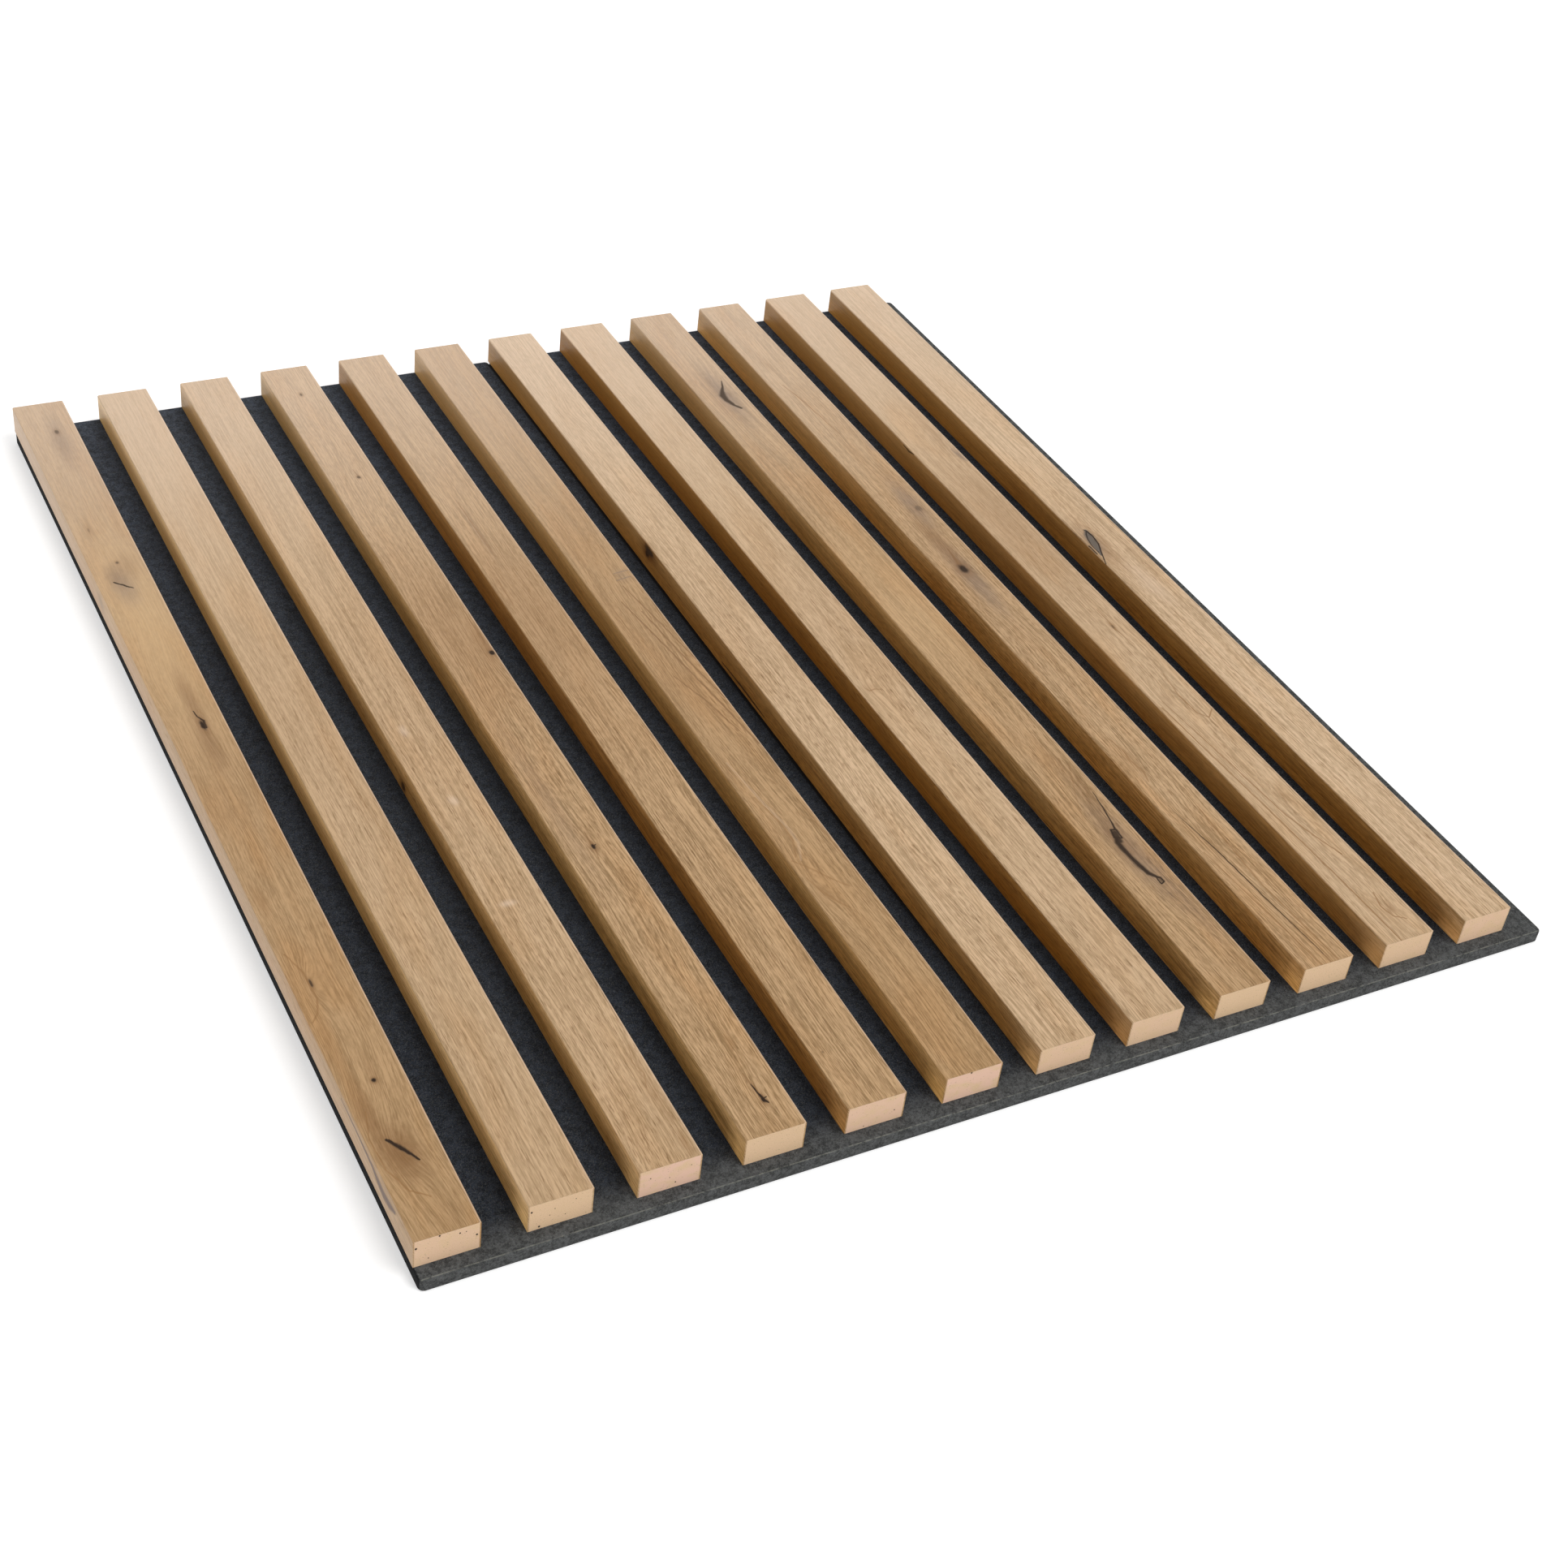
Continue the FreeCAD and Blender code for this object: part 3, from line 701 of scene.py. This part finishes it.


# Needled felt board: short fibres every way, a soft rim, and dents where the staples are driven in.
# Painted shade makes it darker and bluer between the slats than on its open rim, and near-black on its left
# edge.
# Lengths written without mm are in millimetres, for the shader.
felt = {
    "open": screenColour(67, 68, 68),
    # painted shade between the slats, lighter towards the far end
    "groove": screenColour(35, 40, 48),
    "farGroove": screenColour(49, 55, 65),
    # painted shade on the felt's left edge
    "shadedSideEdge": screenColour(13, 14, 16),
    # painted shadow at the joint between the sheets
    "joint": screenColour(8, 8, 9),
    "fibre": screenColour(122, 124, 120),
    "rimLight": screenColour(150, 151, 140),
    "fibreWidth": 0.3,
    "fibreLength": 2.6,
    "fibreTurns": (18, 74, 131),       # degrees
    "fibreTilt": (0.5, 0.3),           # radians
    "fibreShift": (3.7, 1.3),
    "fibreRamp": (0.58, 0.74),
    "fibreShare": 0.3,
    "gritSize": 1.1,
    "hazeSize": 4.0,
    "gritShare": 0.55,       # of the speckle, the rest is haze
    "speckRamp": (0.36, 0.64),
    "speckLow": 0.55,
    "speckHigh": 1.6,
    "nearFade": (-4, 16),    # from the slats' near ends
    "rightFade": 5,          # from the last slat's right side
    "topRamp": (6.0, 6.6),           # above the back
    "sideRamp": (0.2, 0.9),          # from the left edge
    "jointRamp": (1.0, 2.2),         # to each side of the joint
    "jointFade": 180,
    "jointShare": 0.95,
    "rimWidth": (0.12, 0.42),
    "rimRamp": (6.2, 6.6),
    "rimShine": 0.42,
    "dashSize": (2.4, 8.0),
    "dashSeed": 5.5,
    "dashRamp": (0.3, 0.6),
    "gritHeight": 0.8,
    "bumpStrength": 0.8,
    "fibreDepth": 0.25 * mm,
    "roughness": 0.95,
    "specular": 0.08,
    "sheen": 0.03,
    "sheenRoughness": 0.6,
    "cornerRadius": 3.0 * mm,
    "cornerSteps": 6,
    "rimRadius": 0.8 * mm,
    "rimSteps": 3,
    "lipFade": 1.0 * mm,
    "lipReach": 0.22 * mm,
    "dentRoom": 1.4 * mm,
    "dentSlope": 0.8 * mm,
    "dentDepth": 1.2 * mm,
    "staplesPerSlat": 4,
    "crown": 10.0 * mm,
    "wire": 1.2 * mm,
    "backNormal": -0.9,      # a face whose normal drops below this is on the back
    "sharpAngle": 35,        # degrees
}


def feltMaterial():
    material, start, shader = newMaterial("needled_felt")
    place = placeInMillimetres(start)
    x, y, z = parts(place)
    fibres = None
    for turn in felt["fibreTurns"]:
        turned = start.node("Mapping", {}, {
            "Vector": place, "Location": (turn, *felt["fibreShift"]),
            "Rotation": (*felt["fibreTilt"], math.radians(turn))})
        a, b, c = parts(turned)
        strand = clouds(a / felt["fibreLength"], b / felt["fibreWidth"], c / felt["fibreWidth"], detail=1.0)
        strand = strand.rise(*felt["fibreRamp"])
        fibres = strand if fibres is None else fibres.largest(strand)
    sizes = felt["gritSize"], felt["hazeSize"]
    grit, haze = (clouds(x / size, y / size, z / size, detail=3.0) for size in sizes)

    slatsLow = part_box("veneer_wrap_01")[0]
    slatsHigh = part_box(f"veneer_wrap_{slatCount:02d}")[1]
    nearEnd, farEnd, rightEnd = slatsLow.y / mm, slatsHigh.y / mm, slatsHigh.x / mm
    pastLip = y.rise(*(nearEnd + step for step in felt["nearFade"]))
    between = pastLip * x.fall(rightEnd, rightEnd + felt["rightFade"]) * z.rise(*felt["topRamp"])
    # painted shade: the felt between the slats is darker and bluer, less so towards the far end
    grooveShade = y.rise(0.0, farEnd).blend(felt["groove"], felt["farGroove"])
    colour = between.blend(felt["open"], grooveShade)
    # painted shade: the left edge is near-black
    shadedSide = (x - cadBox[0].x / mm).fall(*felt["sideRamp"])
    colour = shadedSide.blend(colour, felt["shadedSideEdge"])
    speck = (grit * felt["gritShare"] + haze * (1 - felt["gritShare"])).rise(*felt["speckRamp"])
    colour = colour.scaled(speck * (felt["speckHigh"] - felt["speckLow"]) + felt["speckLow"])
    colour = (fibres * (1.0 - shadedSide) * felt["fibreShare"]).blend(colour, felt["fibre"], "SCREEN")
    # painted shadow in and beside the joint between the two sheets
    joint = abs(x).fall(*felt["jointRamp"]) * y.rise(nearEnd, nearEnd + felt["jointFade"]) * between
    colour = (joint * felt["jointShare"]).blend(colour, felt["joint"])

    # light catches on the near rim in dashes
    nearRim = cadBox[0].y / mm + felt["rimRadius"] / mm
    onRim = abs(y - nearRim).fall(*felt["rimWidth"]) * z.rise(*felt["rimRamp"])
    dashWidth, dashLength = felt["dashSize"]
    dashes = clouds(x / dashWidth, y / dashLength, felt["dashSeed"], detail=3.0).rise(*felt["dashRamp"])
    colour = (onRim * dashes * felt["rimShine"]).blend(colour, felt["rimLight"])

    bump = bumpFrom(start, fibres + grit * felt["gritHeight"], felt["bumpStrength"], felt["fibreDepth"])
    feed(start, shader, Base_Color=colour, Normal=bump, Roughness=felt["roughness"],
         Specular_IOR_Level=felt["specular"], Sheen_Weight=felt["sheen"],
         Sheen_Roughness=felt["sheenRoughness"])
    return material


def edgesWhere(bm, test):
    return [edge for edge in bm.edges if test(*(vert.co for vert in edge.verts))]


def cutThrough(bm, point, direction):
    whole = bm.verts[:] + bm.edges[:] + bm.faces[:]
    bmesh.ops.bisect_plane(bm, geom=whole, plane_co=point, plane_no=direction)


def finishPiece(name, bm, material):
    mesh = bpy.data.meshes.new(name)
    bm.normal_update()
    bm.to_mesh(mesh)
    bm.free()
    mesh.polygons.foreach_set("use_smooth", [True] * len(mesh.polygons))
    mesh.set_sharp_from_angle(angle=math.radians(felt["sharpAngle"]))
    mesh.materials.append(material)
    piece = addObject(name, mesh)
    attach(piece, "root")
    return piece


def stapleCentres(side):
    low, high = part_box(f"{side}_sheet_staples")
    first = sheetSides.index(side) * slatCount // len(sheetSides) + 1
    slats = range(first, first + slatCount // len(sheetSides))
    middles = [sum(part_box(f"veneer_wrap_{number:02d}"), Vector()).x / 2 for number in slats]
    nearest, farthest = low.y + felt["wire"] / 2, high.y - felt["wire"] / 2
    gaps = felt["staplesPerSlat"] - 1
    rows = [nearest + (farthest - nearest) * row / gaps for row in range(felt["staplesPerSlat"])]
    return middles, rows


def feltSheet(side, material):
    node = f"{side}_felt_sheet"
    low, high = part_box(node)
    level = 0.01 * mm
    jointX = high.x if side == "left" else low.x
    bm = bmesh.new()
    bmesh.ops.create_cube(bm, size=1)
    bmesh.ops.scale(bm, vec=high - low, verts=bm.verts)
    bmesh.ops.translate(bm, vec=(low + high) / 2, verts=bm.verts)

    # the near corners at the joint stay square, so that the near edge runs straight on across it
    def standsRound(a, b):
        atJoint = abs(a.x - jointX) < level and abs(a.y - low.y) < level
        return abs(a.z - b.z) > level and not atJoint

    def onRim(a, b):
        atJoint = max(abs(a.x - jointX), abs(b.x - jointX)) < level
        return (min(a.z, b.z) > high.z - level or max(a.z, b.z) < low.z + level) and not atJoint

    arc = {"affect": "EDGES", "offset_type": "OFFSET", "profile": 0.5, "material": -1}
    uprights = edgesWhere(bm, standsRound)
    bmesh.ops.bevel(bm, geom=uprights, offset=felt["cornerRadius"], segments=felt["cornerSteps"], **arc)
    rim = edgesWhere(bm, onRim)
    bmesh.ops.bevel(bm, geom=rim, offset=felt["rimRadius"], segments=felt["rimSteps"], **arc)

    # the two sheets all but touch in front of the slats, so that the joint hardly shows there
    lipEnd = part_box("veneer_wrap_01")[0].y
    for place in (lipEnd - felt["lipFade"], lipEnd):
        cutThrough(bm, (0, place, 0), (0, 1, 0))
    for vert in bm.verts:
        if abs(vert.co.x - jointX) < level and vert.co.y < lipEnd - felt["lipFade"] / 2:
            vert.co.x -= math.copysign(felt["lipReach"], jointX)

    # the back is cut round each staple's crown, and those patches are pressed in
    middles, rows = stapleCentres(side)
    halfCrown = felt["crown"] / 2 + felt["dentRoom"]
    halfWire = felt["wire"] / 2 + felt["dentRoom"]
    cuts = [((x + step, 0, 0), (1, 0, 0)) for x in middles for step in (-halfCrown, halfCrown)]
    cuts += [((0, y + step, 0), (0, 1, 0)) for y in rows for step in (-halfWire, halfWire)]
    for point, direction in cuts:
        cutThrough(bm, point, direction)
    bm.normal_update()
    dents = []
    for face in bm.faces:
        middle = face.calc_center_median()
        acrossCrown = any(abs(middle.x - x) < halfCrown for x in middles)
        acrossWire = any(abs(middle.y - y) < halfWire for y in rows)
        if face.normal.z < felt["backNormal"] and acrossCrown and acrossWire:
            dents.append(face)
    bmesh.ops.inset_individual(bm, faces=dents, thickness=felt["dentSlope"], depth=-felt["dentDepth"])
    piece = finishPiece(f"{side}_felt_board", bm, material)
    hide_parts(node)
    print(node, "pressed in at", len(dents), "staples")


# Galvanised staple wire. Sizes are in millimetres.
wire = {
    "zinc": screenColour(176, 178, 180),
    "dull": screenColour(138, 141, 145),
    "drawnSize": (3.0, 0.12, 3.0),       # fine lines along the wire
    "spangleSize": 1.1,
    "spangleRamp": (0.35, 0.7),
    "roughness": 0.25,
    "drawnRoughness": 0.25,
    "bumpStrength": 0.3,
    "drawnDepth": 0.05 * mm,
}


def stapleWire():
    material, start, shader = newMaterial("staple_wire")
    places = parts(placeInMillimetres(start))
    drawn = clouds(*(place / size for place, size in zip(places, wire["drawnSize"])))
    spangle = clouds(*(place / wire["spangleSize"] for place in places))
    colour = spangle.rise(*wire["spangleRamp"]).blend(wire["zinc"], wire["dull"])
    roughness = drawn * wire["drawnRoughness"] + wire["roughness"]
    bump = bumpFrom(start, drawn, wire["bumpStrength"], wire["drawnDepth"])
    feed(start, shader, Base_Color=colour, Roughness=roughness, Normal=bump, Metallic=1.0)
    return material


def dress(node, material):
    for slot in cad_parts[node].material_slots:
        slot.material = material


for number in range(1, slatCount + 1):
    dress(f"veneer_wrap_{number:02d}", oakVeneer(number))
    dress(f"slat_core_{number:02d}", rawBoard(number))
print("slats finished in oak and raw board")
feltFinish = feltMaterial()
wireFinish = stapleWire()
for side in sheetSides:
    feltSheet(side, feltFinish)
    dress(f"{side}_sheet_staples", wireFinish)


# Studio: a white floor and white surroundings, a soft key from above the right of the near end, a low fill
# from the left front, and a strip beyond the far end whose sheen pales that end.
studio = {
    "floorSize": 12.0,
    "floorDrop": 0.2 * mm,
    "floorColour": (0.66, 0.66, 0.66, 1),
    "floorGlow": 0.44,
    "ambient": 0.52,
    "keyFrom": Vector((0.38, -0.52, 0.88)),
    "keyStrength": 1.8,
    "keySpread": 32,          # degrees
    "fillFrom": Vector((-1.0, -0.55, 0.08)),
    "fillStrength": 1.8,
    "fillSpread": 30,
    "sunPlace": (0, 0, 1),
    "stripPlace": Vector((-40, 830, 280)) * mm,
    "stripAim": Vector((0, 330, 23)) * mm,
    "stripWidth": 1.2,
    "stripHeight": 0.18,
    "stripPower": 1.5,
}


def whiteRays(start):
    # 1 for what the camera sees, straight, reflected or let through
    path = start.node("LightPath", {}, {}, "Is Camera Ray").socket.node.outputs
    camera, glossy, through = (Tap(start.tree, path[name]) for name in (
        "Is Camera Ray", "Is Glossy Ray", "Is Transmission Ray"))
    return camera.largest(glossy).largest(through)


def studioFloor():
    bm = bmesh.new()
    bmesh.ops.create_grid(bm, x_segments=1, y_segments=1, size=studio["floorSize"] / 2)
    bmesh.ops.translate(bm, vec=(0, 0, -studio["floorDrop"]), verts=bm.verts)
    mesh = bpy.data.meshes.new("studio_floor")
    bm.to_mesh(mesh)
    bm.free()
    material, start, shader = newMaterial("studio_floor")
    glow = (whiteRays(start) * studio["floorGlow"]).blend((0, 0, 0, 1), (1, 1, 1, 1))
    feed(start, shader, Base_Color=studio["floorColour"], Roughness=1.0, Specular_IOR_Level=0.0,
         Emission_Strength=1.0, Emission_Color=glow)
    mesh.materials.append(material)
    floor = addObject("studio_floor", mesh)


def addLamp(name, kind, energy, place, towards, **settings):
    # a lamp at a place, shining along a direction
    lamp = bpy.data.lights.new(name, kind)
    lamp.energy = energy
    for setting, value in settings.items():
        setattr(lamp, setting, value)
    holder = addObject(name, lamp)
    holder.location = place
    holder.rotation_euler = towards.to_track_quat("-Z", "Y").to_euler()
    holder.visible_camera = False


def studioLight():
    world = bpy.data.worlds.new("white_room")
    bpy.context.scene.world = world
    world.use_nodes = True
    background = world.node_tree.nodes["Background"]
    start = Tap(world.node_tree)
    strength = whiteRays(start) * (1 - studio["ambient"]) + studio["ambient"]
    feed(start, background, Color=(1, 1, 1, 1), Strength=strength)
    for name in ("key", "fill"):
        towards = -studio[name + "From"]
        spread = math.radians(studio[name + "Spread"])
        addLamp(f"soft_{name}", "SUN", studio[name + "Strength"], studio["sunPlace"], towards, angle=spread)
    towards = studio["stripAim"] - studio["stripPlace"]
    addLamp("far_strip", "AREA", studio["stripPower"], studio["stripPlace"], towards,
            shape="RECTANGLE", size=studio["stripWidth"], size_y=studio["stripHeight"])


# The photograph's view: from above the near left, the frame turned a little.
shot = {
    "target": Vector((-13.93, -108.34, 7.0)) * mm,
    "azimuth": -31.822,       # degrees
    "elevation": 38.669,
    "roll": 7.771,
    "distance": 1239.9 * mm,
    "lens": 54.93,
    "sensor": 36.0,
    "clipStart": 10 * mm,
    "clipEnd": 100,
}


def takeView():
    azimuth, elevation, roll = (math.radians(shot[name]) for name in ("azimuth", "elevation", "roll"))
    back = Vector((math.sin(azimuth) * math.cos(elevation),
                   -math.cos(azimuth) * math.cos(elevation), math.sin(elevation)))
    level = (-back).cross(Vector((0, 0, 1))).normalized()
    up = level.cross(-back)
    right = level * math.cos(roll) + up * math.sin(roll)
    upright = up * math.cos(roll) - level * math.sin(roll)
    camera = bpy.data.cameras.new("view")
    camera.lens = shot["lens"]
    camera.sensor_width = shot["sensor"]
    camera.clip_start = shot["clipStart"]
    camera.clip_end = shot["clipEnd"]
    holder = addObject("view", camera)
    turn = Matrix((right, upright, back)).transposed().to_4x4()
    holder.matrix_world = Matrix.Translation(shot["target"] + back * shot["distance"]) @ turn
    bpy.context.scene.camera = holder


studioFloor()
studioLight()
takeView()
bpy.context.scene.view_settings.view_transform = "Standard"
print("studio and view set")
